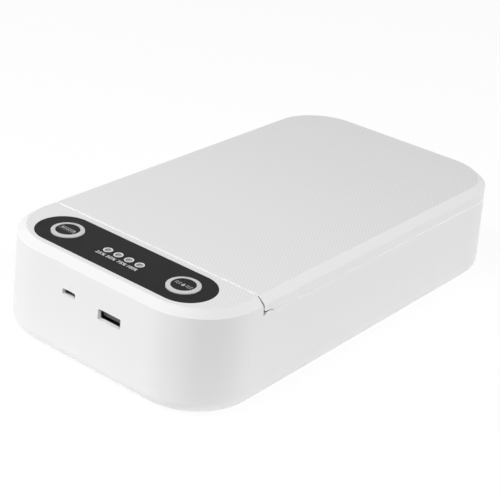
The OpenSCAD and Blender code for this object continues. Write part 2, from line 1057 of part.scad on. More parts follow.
module hinge_pins() {
  color("silver")
    at_hinges()
      rod(pin_d/2, pin_l);
}

// magnets that hold the lid shut at the far end
magnet_r = 3;
magnet_h = 2;
latch_x = 24;
latch_y = bowl_y + bowl_l/2 + tray_t + magnet_r + 1.5;
module at_latch() {
  for (s = [-1, 1])
    translate([s*latch_x, latch_y, 0])
      children();
}

module latch_magnets() {
  color("silver")
    at_latch()
      translate([0, 0, flange_z - tray_t - magnet_h])
        cylinder(r = magnet_r, h = magnet_h);
}

module lid_magnets() {
  color("silver")
    at_latch()
      translate([0, 0, liner_z + liner_t])
        cylinder(r = magnet_r, h = magnet_h);
}

// the white lid
module lid_shell() {
  color("white")
    difference() {
      union() {
        difference() {
          intersection() {
            casing([[rim_z, skirt_inset], [top_z - edge_h, 0], [top_z, edge_w]]);
            slice_y(lid_y, back_y + 1);
          }
          intersection() {
            casing([[rim_z - 1, lid_wall], [top_z - lid_top, lid_wall]]);
            slice_y(lid_y + lid_wall, back_y);
          }
        }
        knuckles();
        at_liner_screws()
          translate([0, 0, liner_z + liner_t])
            cylinder(r = 2.4, h = top_z - lid_top - liner_z - liner_t + 0.5);
      }
      at_hinges()
        rod(pin_d/2 + pin_clear, pin_l + 1);
      ear_pockets();
      corner_cuts();
      // rounded front edge and its bevel below
      translate([0, lid_y, top_z])
        difference() {
          cube([2*body_w, 2*lid_edge_r, 2*lid_edge_r], center = true);
          translate([0, lid_edge_r, -lid_edge_r])
            rod(lid_edge_r, 3*body_w);
        }
      translate([0, lid_y, rim_z])
        rotate([45, 0, 0])
          cube([2*body_w, sqrt(2)*lid_bevel, sqrt(2)*lid_bevel], center = true);
      at_liner_screws()
        translate([0, 0, liner_z])
          cylinder(r = 0.95, h = liner_t + 3.4);
    }
}

// blocks in the lid that turn on the pins, each side of an ear
module knuckles() {
  block_l = pin_l + 2;
  at_hinges()
    translate([-block_l/2, -axis_in + 0.5, -ear_r - 0.2])
      cube([block_l, axis_in - 0.5 + ear_r + 0.2, axis_in + ear_r + 0.2 - lid_top + 0.5]);
}

// space in the lid for the ears through the whole swing
module ear_pockets() {
  swing_r = ear_r + 0.22;
  at_hinges() {
    rod(swing_r, ear_w + 0.5);
    translate([-ear_w/2 - 0.25, -axis_in - 1, -lid_drop])
      cube([ear_w + 0.5, axis_in + 1 + swing_r, lid_drop]);
    translate([-ear_w/2 - 0.25, -axis_in - 1, -1])
      cube([ear_w + 0.5, axis_in + 1, 1 + swing_r]);
  }
}

liner_front = axis_y + 3.2;
liner_screw_out = 20;
liner_head_r = 2;
liner_head_h = 0.8;
module at_liner_screws() {
  for (sx = [-1, 1], y = [-1, 0, 1])
    translate([sx*(tube_x + liner_screw_out), lamp_y + y*(tube_l/2 - 5), 0])
      children();
}

module lid_liner() {
  color("white")
    difference() {
      union() {
        intersection() {
          casing([[liner_z, lid_wall + 0.2], [liner_z + liner_t, lid_wall + 0.2]]);
          slice_y(liner_front, back_y);
        }
        // upstands that hold the tube caps
        for (sx = [-1, 1], sy = [-1, 1])
          translate([sx*tube_x, lamp_y + sy*(tube_l - cap_l)/2, liner_z + liner_t])
            translate([-cap_d/2 - 1.2, -1.5, -0.5])
              cube([cap_d + 2.4, 3, 0.5 + upper_lamp_z - liner_z - liner_t]);
      }
      for (s = [-1, 1])
        translate([s*tube_x, lamp_y, 0])
          slab(window_w - 2, tube_l - 2*cap_l - 4, 2, liner_z - 1, liner_z + liner_t + 0.01);
      translate([0, 0, upper_lamp_z])
        for (sx = [-1, 1], sy = [-1, 1])
          translate([sx*tube_x, lamp_y + sy*(tube_l - cap_l)/2, 0])
            rotate([90, 0, 0])
              cylinder(d = cap_d + 2*hole_fit, h = 10, center = true);
      // channel under each tube
      for (s = [-1, 1])
        translate([s*tube_x, lamp_y, upper_lamp_z])
          rotate([90, 0, 0])
            cylinder(d = tube_d + 2*fit, h = tube_l - 2, center = true);
      at_liner_screws() {
        translate([0, 0, liner_z - 1])
          cylinder(r = liner_head_r + 0.1, h = 1 + liner_head_h);
        translate([0, 0, liner_z - 1])
          cylinder(r = 1, h = 5);
      }
    }
}

module liner_screws() {
  color("silver")
    at_liner_screws()
      translate([0, 0, liner_z])
        screw(liner_head_r, liner_head_h, 0.9, liner_t - liner_head_h + 3);
}

module at_bumpers() {
  for (sx = [-1, 1])
    translate([sx*(latch_x + 13), latch_y, 0])
      children();
}

module lid_bumpers() {
  color("gainsboro")
    at_bumpers()
      translate([0, 0, flange_z + 0.2])
        cylinder(r = 3, h = liner_z - flange_z - 0.2);
}

module sensor_magnet() {
  color("silver")
    translate([0, liner_front + 3, liner_z + liner_t])
      cylinder(r = 2, h = 2);
}

main_shell();
bottom_cover();
chamber_tray();
lamp_window(-1);  // lamp_window_left
lamp_window(1);  // lamp_window_right
tube(-1, lower_lamp_z);  // lower_tube_left
tube(1, lower_lamp_z);  // lower_tube_right
tube_caps(lower_lamp_z);  // lower_tube_caps
lower_reflectors();
control_panel();
light_guide();
indicator_leds();
main_board();
switch_bodies();
usb_a_shell();
usb_a_tongue();
micro_usb_shell();
micro_usb_tongue();
hall_sensor();
inverter_board();
inverter_transformer();
inverter_capacitors();
lamp_leads();
aroma_cup();
aroma_pad();
aroma_grille();
aroma_heater();
rubber_feet();
cover_screws();
board_screws();
hinge_pins();
latch_magnets();
lid_shell();
lid_liner();
tube(-1, upper_lamp_z);  // upper_tube_left
tube(1, upper_lamp_z);  // upper_tube_right
tube_caps(upper_lamp_z);  // upper_tube_caps
lid_reflectors();
lid_magnets();
lid_bumpers();
liner_screws();
sensor_magnet();
button_cap(-1);  // sterilise_cap
button_disc(-1);  // sterilise_disc
button_plunger(-1);  // sterilise_plunger
button_cap(1);  // aroma_cap
button_disc(1);  // aroma_disc
button_plunger(1);  // aroma_plunger
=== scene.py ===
"""Looks of the sanitizer box for phones: camera, light, surfaces and the fine pieces that sit on its solids."""

import json
import math

import bmesh
import bpy
from mathutils import Matrix, Vector


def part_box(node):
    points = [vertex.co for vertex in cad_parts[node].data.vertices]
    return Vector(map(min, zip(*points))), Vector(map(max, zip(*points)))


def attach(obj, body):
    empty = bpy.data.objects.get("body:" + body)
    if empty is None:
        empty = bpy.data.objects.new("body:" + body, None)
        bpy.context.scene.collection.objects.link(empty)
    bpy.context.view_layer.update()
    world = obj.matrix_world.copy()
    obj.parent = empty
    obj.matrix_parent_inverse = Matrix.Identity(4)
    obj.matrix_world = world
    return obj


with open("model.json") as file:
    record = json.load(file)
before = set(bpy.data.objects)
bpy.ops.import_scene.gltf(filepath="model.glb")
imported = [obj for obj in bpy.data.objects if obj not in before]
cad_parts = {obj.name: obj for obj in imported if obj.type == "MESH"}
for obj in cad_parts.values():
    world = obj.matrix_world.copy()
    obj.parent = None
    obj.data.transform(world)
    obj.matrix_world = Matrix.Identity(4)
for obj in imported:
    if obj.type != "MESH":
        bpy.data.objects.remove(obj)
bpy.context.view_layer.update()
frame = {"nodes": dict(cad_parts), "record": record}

MM = 0.001

# Camera, fitted to the photograph's outline
FOCAL_PX = 1374.1
PICTURE_PX = 500
SENSOR = 36.0
CAMERA_AT = (0.33643, -0.45420, 0.29729)
CAMERA_FORWARD = (-0.54138, 0.71534, -0.44180)
CAMERA_RIGHT = (0.76856, 0.63412, 0.08494)


def make_camera():
    """The photograph's camera: its place and turn come from the fitted directions."""
    data = bpy.data.cameras.new("camera")
    data.sensor_fit = "HORIZONTAL"
    data.sensor_width = SENSOR
    data.lens = FOCAL_PX*SENSOR/PICTURE_PX
    data.clip_start = 0.01
    data.clip_end = 20
    camera = bpy.data.objects.new("camera", data)
    back = -Vector(CAMERA_FORWARD).normalized()
    right = Vector(CAMERA_RIGHT).normalized()
    up = back.cross(right).normalized()
    right = up.cross(back)
    turn = Matrix((right, up, back)).transposed()
    camera.matrix_world = Matrix.Translation(CAMERA_AT) @ turn.to_4x4()
    bpy.context.scene.collection.objects.link(camera)
    bpy.context.scene.camera = camera


make_camera()


# Places and sizes that several sections share: the casing's outline, the top, the lid's lower edge, and the lid's
# edge along the seam
BODY_L, BODY_W, CORNER_R = 225*MM, 123.5*MM, 29.5*MM
TOP_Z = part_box("lid_shell")[1].z
RIM_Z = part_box("lid_shell")[0].z
JOINT_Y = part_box("lid_shell")[0].y
SEAM_GAP = 0.5*MM


# Node helpers. Every pattern is read in the object's own coordinates, in metres.

def new_material(name, **sockets):
    """A material with one Principled shader and its constant sockets set."""
    material = bpy.data.materials.new(name)
    material.use_nodes = True
    for key, value in sockets.items():
        shader_of(material).inputs[key.replace("_", " ")].default_value = value
    return material


def shader_of(material):
    return material.node_tree.nodes["Principled BSDF"]


def add_node(material, kind, inputs=None, **settings):
    """A new node with its settings; an input is either linked or given its value."""
    node = material.node_tree.nodes.new(kind)
    for key, value in settings.items():
        setattr(node, key, value)
    for key, value in (inputs or {}).items():
        if isinstance(value, bpy.types.NodeSocket):
            material.node_tree.links.new(value, node.inputs[key])
        else:
            node.inputs[key].default_value = value
    return node


def place(material, stretch=(1, 1, 1), turn=0.0):
    """Object coordinates, stretched and turned about Z."""
    coordinates = add_node(material, "ShaderNodeTexCoord")
    mapping = add_node(material, "ShaderNodeMapping", {"Vector": coordinates.outputs["Object"]})
    mapping.inputs["Scale"].default_value = stretch
    mapping.inputs["Rotation"].default_value = (0, 0, turn)
    return mapping.outputs["Vector"]


def noise(material, grain, detail=2.0, stretch=(1, 1, 1)):
    """Noise whose grains are about that many metres across."""
    node = add_node(material, "ShaderNodeTexNoise", {
        "Vector": place(material, stretch), "Scale": 1/grain, "Detail": detail})
    return node.outputs["Fac"]


def math_node(material, operation, a, b=0.0):
    return add_node(material, "ShaderNodeMath", {0: a, 1: b}, operation=operation).outputs[0]


def remap(material, value, low, high, start=0.0, end=1.0):
    """value, from start..end, spread over low..high."""
    node = add_node(material, "ShaderNodeMapRange", {
        "Value": value, "From Min": start, "From Max": end, "To Min": low, "To Max": high})
    return node.outputs["Result"]


def vary_roughness(material, value, low, high):
    material.node_tree.links.new(remap(material, value, low, high), shader_of(material).inputs["Roughness"])


def vary_colour(material, value, dark, light, start=0.3, end=0.7):
    """The base colour runs from dark to light as value rises from start to end."""
    ramp = add_node(material, "ShaderNodeValToRGB", {"Fac": value})
    ramp.color_ramp.elements[0].position = start
    ramp.color_ramp.elements[0].color = (*dark, 1)
    ramp.color_ramp.elements[1].position = end
    ramp.color_ramp.elements[1].color = (*light, 1)
    material.node_tree.links.new(ramp.outputs["Color"], shader_of(material).inputs["Base Color"])


def object_xyz(material):
    """X, Y and Z of the object's own coordinates."""
    coordinates = add_node(material, "ShaderNodeTexCoord")
    split = add_node(material, "ShaderNodeSeparateXYZ", {"Vector": coordinates.outputs["Object"]})
    return [split.outputs[axis] for axis in "XYZ"]


def product(material, first, *others):
    """Masks multiplied: 1 where each of them is 1."""
    for other in others:
        first = math_node(material, "MULTIPLY", first, other)
    return first


def height_over(material, level):
    """1 above that level in the object's coordinates, 0 below."""
    return math_node(material, "GREATER_THAN", object_xyz(material)[2], level)


def mix_base(material, mask, colour):
    """The base colour turns to that colour where the mask is 1."""
    base = shader_of(material).inputs["Base Color"]
    mix = add_node(material, "ShaderNodeMix", {"Factor": mask}, data_type="RGBA")
    colours = [socket for socket in mix.inputs if socket.type == "RGBA"]
    material.node_tree.links.new(base.links[0].from_socket, colours[0])
    colours[1].default_value = (*colour, 1)
    material.node_tree.links.new(mix.outputs[2], base)


# how alike the normal and its bevelled neighbour are where an edge gets the full painted highlight, and where none
EDGE_ALIKE = (0.92, 0.998)


def paint_edge_highlight(material, radius, level, colour):
    """Sharp edges above a level are painted a lighter colour within that radius: a painted highlight."""
    bevel = add_node(material, "ShaderNodeBevel", {"Radius": radius}, samples=4)
    plain = add_node(material, "ShaderNodeNewGeometry")
    alike = add_node(material, "ShaderNodeVectorMath", {0: bevel.outputs["Normal"], 1: plain.outputs["Normal"]},
                     operation="DOT_PRODUCT")
    edge = remap(material, alike.outputs["Value"], 1.0, 0.0, *EDGE_ALIKE)
    mix_base(material, product(material, edge, height_over(material, level)), colour)


# the shares of open sky at which a point in the joint gets the full painted shade, and none at all
JOINT_SKY = (0.4, 0.75)


def paint_joint_shade(material, reach, south, north, top, aside, colour):
    """The narrow joint between those Y values, below that height and that far aside, is painted dark where little
    open sky reaches it: painted shade.
    """
    open_sky = add_node(material, "ShaderNodeAmbientOcclusion", {"Distance": reach}, samples=8)
    deep = remap(material, open_sky.outputs["AO"], 1.0, 0.0, *JOINT_SKY)
    x, y, z = object_xyz(material)
    squared = math_node(material, "MULTIPLY", x, x)
    mix_base(material, product(
        material, deep,
        math_node(material, "GREATER_THAN", y, south),
        math_node(material, "LESS_THAN", y, north),
        math_node(material, "LESS_THAN", z, top),
        math_node(material, "GREATER_THAN", squared, aside**2)), colour)


def paint_seam_highlight(material, width, colour):
    """The lid's rounded edge along the seam is painted a lighter colour: a painted highlight."""
    _, y, z = object_xyz(material)
    mix_base(material, product(
        material,
        math_node(material, "GREATER_THAN", y, JOINT_Y - 0.1*width),
        math_node(material, "LESS_THAN", y, JOINT_Y + width),
        math_node(material, "GREATER_THAN", z, TOP_Z - width)), colour)


def add_bump(material, height, depth):
    """Bump that many metres deep, on top of any normal that is there."""
    node = add_node(material, "ShaderNodeBump", {"Height": height, "Distance": depth})
    normal = shader_of(material).inputs["Normal"]
    if normal.is_linked:
        material.node_tree.links.new(normal.links[0].from_socket, node.inputs["Normal"])
    material.node_tree.links.new(node.outputs["Normal"], normal)


def shade(colour, factor):
    return tuple(c*factor for c in colour)


# Surfaces

WHITE = (0.86, 0.86, 0.86)
# the lighter white of the painted highlights on the edges, along the seam and on the rim's lip
HIGHLIGHT_WHITE = (0.97, 0.97, 0.97)
DULL = 0.05
LENS_SUNK, LENS_RIM = (0.45, 0.45, 0.45), (0.84, 0.84, 0.84)

# The line texture on the casing's top, within TOP_SKIN of it
TOP_WEAVE = 1.35*MM
TOP_WEAVE_TURN = -math.atan2(0.48, 0.87)
TOP_WEAVE_DEPTH = 0.02*MM
TOP_WEAVE_SHADE = 0.06
TOP_SKIN = 0.05*MM

# The casing's edges and the lid's edge along the seam, painted lighter: painted highlights
EDGE_HIGHLIGHT = 0.22*MM
HIGHLIGHT_OVER = RIM_Z - 1.0*MM
SEAM_HIGHLIGHT = 0.5*MM

# The joint between lid and housing on the sides, painted dark: painted shade
JOINT_SHADE = (0.08, 0.08, 0.08)
JOINT_REACH = 1.2*MM
JOINT_SOUTH, JOINT_NORTH = JOINT_Y - 0.8*MM, JOINT_Y + 3.6*MM
JOINT_TOP = TOP_Z - 0.3*MM
JOINT_ASIDE = 55*MM


def moulded_surface(name, roughness=0.5, depth=0.004*MM, **sockets):
    """The uneven gloss and shallow grain of a fine eroded mould, still without its colour."""
    material = new_material(name, **sockets)
    vary_roughness(material, noise(material, 3*MM), roughness - 0.04, roughness + 0.05)
    add_bump(material, noise(material, 0.35*MM, detail=1), depth)
    return material


def moulded_plastic(name, colour, **settings):
    """Plastic from such a mould, slightly mottled."""
    material = moulded_surface(name, **settings)
    vary_colour(material, noise(material, 18*MM, detail=3), shade(colour, 0.985), colour)
    return material


def shell_plastic():
    """The white casing: a fine slanting line texture on top, painted highlights on its edges and along the seam,
    and painted shade in the joint.
    """
    material = moulded_surface("white_shell", Specular_IOR_Level=DULL)
    # in the wave texture's own scale a line repeats every 2 pi/20
    lines = add_node(material, "ShaderNodeTexWave", {
        "Vector": place(material, turn=TOP_WEAVE_TURN), "Scale": math.pi*2/(20*TOP_WEAVE), "Distortion": 0.6,
        "Detail": 1.0, "Detail Scale": 2.0}, wave_type="BANDS", bands_direction="X", wave_profile="SIN")
    height = product(material, lines.outputs["Fac"], height_over(material, TOP_Z - TOP_SKIN))
    vary_colour(material, height, WHITE, shade(WHITE, 1 - TOP_WEAVE_SHADE), 0.0, 1.0)
    add_bump(material, height, TOP_WEAVE_DEPTH)
    paint_edge_highlight(material, EDGE_HIGHLIGHT, HIGHLIGHT_OVER, HIGHLIGHT_WHITE)
    paint_seam_highlight(material, SEAM_HIGHLIGHT, HIGHLIGHT_WHITE)
    paint_joint_shade(material, JOINT_REACH, JOINT_SOUTH, JOINT_NORTH, JOINT_TOP, JOINT_ASIDE, JOINT_SHADE)
    return material


def metal(name, colour, roughness, grain, stretch=(1, 1, 1)):
    """Metal whose gloss and colour vary along the grain of its finish."""
    material = new_material(name, Metallic=1.0)
    streaks = noise(material, grain, detail=4, stretch=stretch)
    vary_colour(material, streaks, shade(colour, 0.9), colour)
    vary_roughness(material, streaks, roughness - 0.06, roughness + 0.08)
    add_bump(material, streaks, 0.002*MM)
    return material


def rubber(name, colour, roughness=0.7):
    """Soft rubber with a dusty sheen."""
    material = new_material(name, Sheen_Weight=0.15)
    vary_colour(material, noise(material, 4*MM), shade(colour, 0.88), colour)
    vary_roughness(material, noise(material, 1.5*MM), roughness - 0.06, roughness + 0.08)
    add_bump(material, noise(material, 0.25*MM, detail=1), 0.01*MM)
    return material


def clear_glass(name, tint, ior=1.46):
    material = new_material(name, Transmission_Weight=1.0, IOR=ior)
    vary_colour(material, noise(material, 12*MM), shade(tint, 0.97), tint)
    vary_roughness(material, noise(material, 6*MM), 0.02, 0.05)
    return material


def panel_black():
    """Satin black film with a very faint leather grain."""
    material = new_material("black_panel", Specular_IOR_Level=0.06)
    vary_colour(material, noise(material, 9*MM, detail=3), (0.013, 0.013, 0.013), (0.016, 0.016, 0.016))
    vary_roughness(material, noise(material, 2*MM), 0.46, 0.54)
    add_bump(material, noise(material, 0.3*MM, detail=1), 0.003*MM)
    return material


def circuit_board():
    """Green solder mask over slightly lighter copper tracks."""
    material = new_material("board", Coat_Weight=0.3)
    tracks = add_node(material, "ShaderNodeTexBrick", {
        "Vector": place(material), "Scale": 1/(6*MM), "Mortar Size": 0.02, "Bias": -0.2},
        offset=0.37, squash=0.8)
    vary_colour(material, tracks.outputs["Fac"], (0.012, 0.10, 0.045), (0.035, 0.22, 0.09), 0.0, 1.0)
    vary_roughness(material, noise(material, 2*MM), 0.3, 0.42)
    add_bump(material, tracks.outputs["Fac"], 0.03*MM)
    return material


def felt():
    """Pressed felt, its fibres lying mostly one way."""
    material = new_material("felt", Roughness=0.95, Sheen_Weight=0.4)
    fibres = noise(material, 0.4*MM, detail=6, stretch=(1, 0.4, 1))
    vary_colour(material, fibres, (0.66, 0.63, 0.56), (0.82, 0.8, 0.74))
    add_bump(material, fibres, 0.15*MM)
    return material


def ring_plastic():
    """The button rings: greyer than the casing, with their edges painted lighter as a highlight."""
    material = moulded_plastic("ring_white", (0.66, 0.66, 0.66), depth=0.002*MM, Specular_IOR_Level=DULL)
    paint_edge_highlight(material, 0.12*MM, TOP_Z, (0.9, 0.9, 0.9))
    return material


def light_lens():
    """Milky light guide: a bright rim round a greyer sunk face."""
    material = moulded_surface("light_lens", roughness=0.25)
    vary_colour(material, height_over(material, TOP_Z - 0.2*MM), LENS_SUNK, LENS_RIM, 0.0, 1.0)
    return material


def ink_and_shadow_film(name, colour):
    """Grey screen print, a little worn; the same film also makes the painted shadow in the lights' wells."""
    material = new_material(name, Specular_IOR_Level=0.2)
    vary_colour(material, noise(material, 0.6*MM, detail=3), shade(colour, 0.85), colour)
    vary_roughness(material, noise(material, 1*MM), 0.45, 0.6)
    add_bump(material, noise(material, 0.2*MM), 0.002*MM)
    return material


MATERIALS = {
    "white_shell": shell_plastic(),
    "white_cover": moulded_plastic("white_cover", WHITE, Specular_IOR_Level=DULL),
    "white_inner": moulded_plastic("white_inner", (0.84, 0.84, 0.84), roughness=0.35, depth=0.002*MM),
    "quartz": clear_glass("quartz", (0.93, 0.96, 0.98)),
    "uv_glass": clear_glass("uv_glass", (0.9, 0.93, 0.99), ior=1.5),
    "silicone": rubber("silicone", (0.75, 0.75, 0.74), roughness=0.55),
    "reflector": metal("reflector", (0.88, 0.885, 0.89), 0.16, 0.5*MM, stretch=(1, 0.05, 1)),
    "black_panel": panel_black(),
    "ring_white": ring_plastic(),
    "light_lens": light_lens(),
    "led_body": moulded_plastic("led_body", (0.85, 0.84, 0.6), roughness=0.3),
    "board": circuit_board(),
    "switch_black": moulded_plastic("switch_black", (0.035, 0.035, 0.036), roughness=0.45),
    "tongue": moulded_plastic("tongue", (0.1, 0.1, 0.1), roughness=0.4),
    "plunger": moulded_plastic("plunger", (0.05, 0.05, 0.05), roughness=0.4),
    # tinned steel, its colour darkened to paint the shade deep in the socket mouths; the chips' legs share it
    "socket_metal": metal("socket_metal", (0.28, 0.28, 0.285), 0.3, 0.4*MM, stretch=(1, 0.1, 1)),
    "transformer": moulded_plastic("transformer", (0.5, 0.38, 0.08), roughness=0.35),
    "capacitor": moulded_plastic("capacitor", (0.03, 0.05, 0.16), roughness=0.3),
    "lead_red": rubber("lead_red", (0.5, 0.04, 0.03), roughness=0.45),
    "cup": metal("cup", (0.78, 0.78, 0.785), 0.22, 0.5*MM),
    "felt": felt(),
    "heater": moulded_plastic("heater", (0.55, 0.3, 0.06), roughness=0.25),
    "foot_rubber": rubber("foot_rubber", (0.06, 0.06, 0.062)),
    "screw_steel": metal("screw_steel", (0.62, 0.625, 0.63), 0.28, 0.3*MM),
    "pin_steel": metal("pin_steel", (0.68, 0.68, 0.685), 0.2, 0.2*MM, stretch=(0.1, 1, 1)),
    "magnet": metal("magnet", (0.74, 0.74, 0.75), 0.12, 0.8*MM),
}
PANEL_INK = ink_and_shadow_film("panel_ink", (0.9, 0.9, 0.9))
DISC_INK = ink_and_shadow_film("disc_ink", (0.5, 0.5, 0.5))
# the dark film of painted shadow in the lights' wells
WELL_SHADOW = ink_and_shadow_film("well_painted_shadow", (0.2, 0.2, 0.2))
GOLD = metal("gold", (0.86, 0.74, 0.46), 0.25, 0.2*MM)
# the rim's lip: glossier plastic in the lighter white of a painted highlight
RIM_HIGHLIGHT = moulded_plastic("rim_painted_highlight", HIGHLIGHT_WHITE, roughness=0.3, Specular_IOR_Level=DULL)
SEAL_MATT = moulded_plastic("seam_seal", WHITE, roughness=0.4, Specular_IOR_Level=DULL)
COPPER = metal("copper", (0.75, 0.36, 0.16), 0.3, 0.2*MM)


def dress_cad_nodes():
    """Gives each solid its slot's material."""
    for part in frame["record"]["subparts"]:
        data = frame["nodes"][part["node"]].data
        data.materials.clear()
        data.materials.append(MATERIALS[part["material_slot"]])


dress_cad_nodes()


# Fine pieces

def carry(piece, body, slot_name, material=None):
    """Links a piece, gives it its slot's or its own material, and lets it ride on its body."""
    bpy.context.scene.collection.objects.link(piece)
    piece.data.materials.append(material or MATERIALS[slot_name])
    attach(piece, body)
    return piece


def meshed(curve_object, name):
    """The curve or text object turned into a mesh object of that name."""
    bpy.context.scene.collection.objects.link(curve_object)
    bpy.context.view_layer.update()
    depsgraph = bpy.context.evaluated_depsgraph_get()
    mesh = bpy.data.meshes.new_from_object(curve_object.evaluated_get(depsgraph))
    bpy.data.objects.remove(curve_object)
    mesh.name = name
    return bpy.data.objects.new(name, mesh)


def from_bmesh(name, bm):
    """A mesh object from the finished bmesh, its faces turned outwards."""
    bmesh.ops.recalc_face_normals(bm, faces=bm.faces)
    mesh = bpy.data.meshes.new(name)
    bm.to_mesh(mesh)
    bm.free()
    return bpy.data.objects.new(name, mesh)


def add_block(bm, low, high, edge=0.0):
    """A block between two corners, its edges bevelled."""
    low, high = Vector(low), Vector(high)
    made = bmesh.ops.create_cube(bm, size=1.0)
    middle = Matrix.Translation((low + high)/2)
    bmesh.ops.transform(bm, matrix=middle @ Matrix.Diagonal((*(high - low), 1)), verts=made["verts"])
    if edge:
        edges = list(dict.fromkeys(e for v in made["verts"] for e in v.link_edges))
        bmesh.ops.bevel(bm, geom=edges, offset=edge, segments=2, affect="EDGES", profile=0.5)


def add_prism(bm, outline, axis, start, end):
    """An outline of points across the axis, filled and drawn out along it."""
    def corner(point, along):
        co = list(point)
        co.insert(axis, along)
        return bm.verts.new(co)
    near = [corner(p, start) for p in outline]
    far = [corner(p, end) for p in outline]
    bm.faces.new(near)
    bm.faces.new(far)
    count = len(outline)
    for i in range(count):
        j = (i + 1) % count
        bm.faces.new((near[i], near[j], far[j], far[i]))


def printed(name, outlines, thickness):
    """Closed outlines, filled between them, as a thin layer round z = 0."""
    curve = bpy.data.curves.new(name, "CURVE")
    curve.dimensions = "2D"
    curve.fill_mode = "BOTH"
    curve.extrude = thickness/2
    for outline in outlines:
        spline = curve.splines.new("POLY")
        spline.points.add(len(outline) - 1)
        for point, (x, y) in zip(spline.points, outline):
            point.co = (x, y, 0, 1)
        spline.use_cyclic_u = True
    return meshed(bpy.data.objects.new(name, curve), name)


# Prints on the panel and the lights' places
FILM_THICK = 0.02*MM
PANEL_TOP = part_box("control_panel")[1].z
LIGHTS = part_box("light_guide")
LIGHTS_X = (LIGHTS[0].x + LIGHTS[1].x)/2
PANEL_Y = (LIGHTS[0].y + LIGHTS[1].y)/2
LIGHT_PITCH = 5.9*MM
LEVELS = ("25%", "50%", "75%", "100%")
LIGHT_XS = [LIGHTS_X + (i - 1.5)*LIGHT_PITCH for i in range(len(LEVELS))]
DIGITS_BELOW = 4.25*MM
DIGITS_H = 1.9*MM
DIGITS_W = 4.9*MM
DIGITS_BOLD = 0.008


def printed_number(text, x):
    """A charge level printed in front of its light."""
    curve = bpy.data.curves.new(text, "FONT")
    curve.body = text
    curve.extrude = FILM_THICK/2
    curve.offset = DIGITS_BOLD
    piece = meshed(bpy.data.objects.new("number", curve), "charge_" + text.strip("%"))
    low = Vector([min(v.co[i] for v in piece.data.vertices) for i in range(3)])
    high = Vector([max(v.co[i] for v in piece.data.vertices) for i in range(3)])
    scale = (DIGITS_W/(high.x - low.x), DIGITS_H/(high.y - low.y), 1)
    centre = (low + high)/2
    at = Vector((x, PANEL_Y - DIGITS_BELOW, PANEL_TOP + FILM_THICK/2))
    piece.data.transform(Matrix.Translation(at) @ Matrix.Diagonal((*scale, 1)) @ Matrix.Translation(-centre))
    return carry(piece, "base", "ring_white", PANEL_INK)


for level, light_x in zip(LEVELS, LIGHT_XS):
    printed_number(level, light_x)


def capsule(start, end, width, steps=8):
    """Outline of a bar with round ends."""
    a, b = Vector(start), Vector(end)
    heading = math.atan2(b.y - a.y, b.x - a.x)
    points = []
    for centre, turn in ((b, heading - math.pi/2), (a, heading + math.pi/2)):
        for i in range(steps + 1):
            angle = turn + math.pi*i/steps
            points.append((centre.x + width/2*math.cos(angle), centre.y + width/2*math.sin(angle)))
    return points


def ribbon(points, width):
    """Outline of a line of even width through the points."""
    left, right = [], []
    for i, p in enumerate(points):
        a, b = points[max(i - 1, 0)], points[min(i + 1, len(points) - 1)]
        side = Vector((a[1] - b[1], b[0] - a[0])).normalized()*width/2
        left.append((p[0] + side.x, p[1] + side.y))
        right.append((p[0] - side.x, p[1] - side.y))
    return left + right[::-1]


def wave(start, length, y, height):
    """Points along one and a half waves."""
    turns, steps = 1.5, 18
    return [(start + length*i/steps, y + height*math.sin(2*math.pi*turns*i/steps)) for i in range(steps + 1)]


def droplet(width, height, steps=20):
    """A drop standing upright round the origin."""
    r = width/2
    top = height - r
    half = math.acos(r/top)
    arc = [math.pi/2 + half + (2*math.pi - 2*half)*i/steps for i in range(steps + 1)]
    drop = height/2 - r
    return [(0, top - drop)] + [(r*math.cos(a), r*math.sin(a) - drop) for a in arc]


# The sunk face's depth, its radius, how far the painted shadow reaches in, and from which side
WELL_DEPTH = 0.9*MM
WELL_R = 1.55*MM
WELL_BITE = 0.75*MM
WELL_TOWARDS = math.radians(-53)


def light_well_shadows():
    """A dark crescent on the near side of each light's sunk face: a painted shadow cast by the near rim."""
    steps = 16
    shift_x, shift_y = -WELL_BITE*math.cos(WELL_TOWARDS), -WELL_BITE*math.sin(WELL_TOWARDS)
    half = math.acos(WELL_BITE/2/WELL_R)
    turns = [WELL_TOWARDS - half + 2*half*k/steps for k in range(steps + 1)]
    outlines = []
    for x in LIGHT_XS:
        outer = [(x + WELL_R*math.cos(a), WELL_R*math.sin(a)) for a in turns]
        inner = [(shift_x + outer_x, shift_y + y) for outer_x, y in outer[-2:0:-1]]
        outlines.append(outer + inner)
    piece = printed("light_well_shadows", outlines, FILM_THICK)
    piece.data.transform(Matrix.Translation((0, PANEL_Y, PANEL_TOP - WELL_DEPTH + FILM_THICK/2)))
    return carry(piece, "base", "light_lens", WELL_SHADOW)


light_well_shadows()

SIGN_LINE = 0.3*MM


def lamp_sign():
    """A lamp tube that shines downwards."""
    outlines = [capsule((-3.3*MM, 0.55*MM), (3.3*MM, 0.55*MM), 1.3*MM),
                capsule((-2.9*MM, 0.55*MM), (2.9*MM, 0.55*MM), 0.65*MM)]
    for i in range(7):
        x = (i - 3)*1.15*MM
        outlines.append(capsule((x, -0.45*MM), (x*1.22, -1.05*MM), SIGN_LINE, 4))
    return outlines


def scent_sign():
    """A drop between wafts of scent."""
    outlines = [droplet(1.5*MM, 2.3*MM)]
    for side in (-1, 1):
        start = 1.3*MM if side > 0 else -4.3*MM
        for y in (-0.55*MM, 0.55*MM):
            outlines.append(ribbon(wave(start, 3.0*MM, y, 0.22*MM), SIGN_LINE))
    return outlines


def print_on_disc(name, outlines, disc, body):
    """A sign printed on the middle of a button's disc."""
    low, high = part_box(disc)
    piece = printed(name, outlines, FILM_THICK)
    piece.data.transform(Matrix.Translation(((low.x + high.x)/2, (low.y + high.y)/2, high.z + FILM_THICK/2)))
    return carry(piece, body, "ring_white", DISC_INK)


print_on_disc("lamp_sign", lamp_sign(), "sterilise_disc", "sterilise_button")
print_on_disc("scent_sign", scent_sign(), "aroma_disc", "aroma_button")


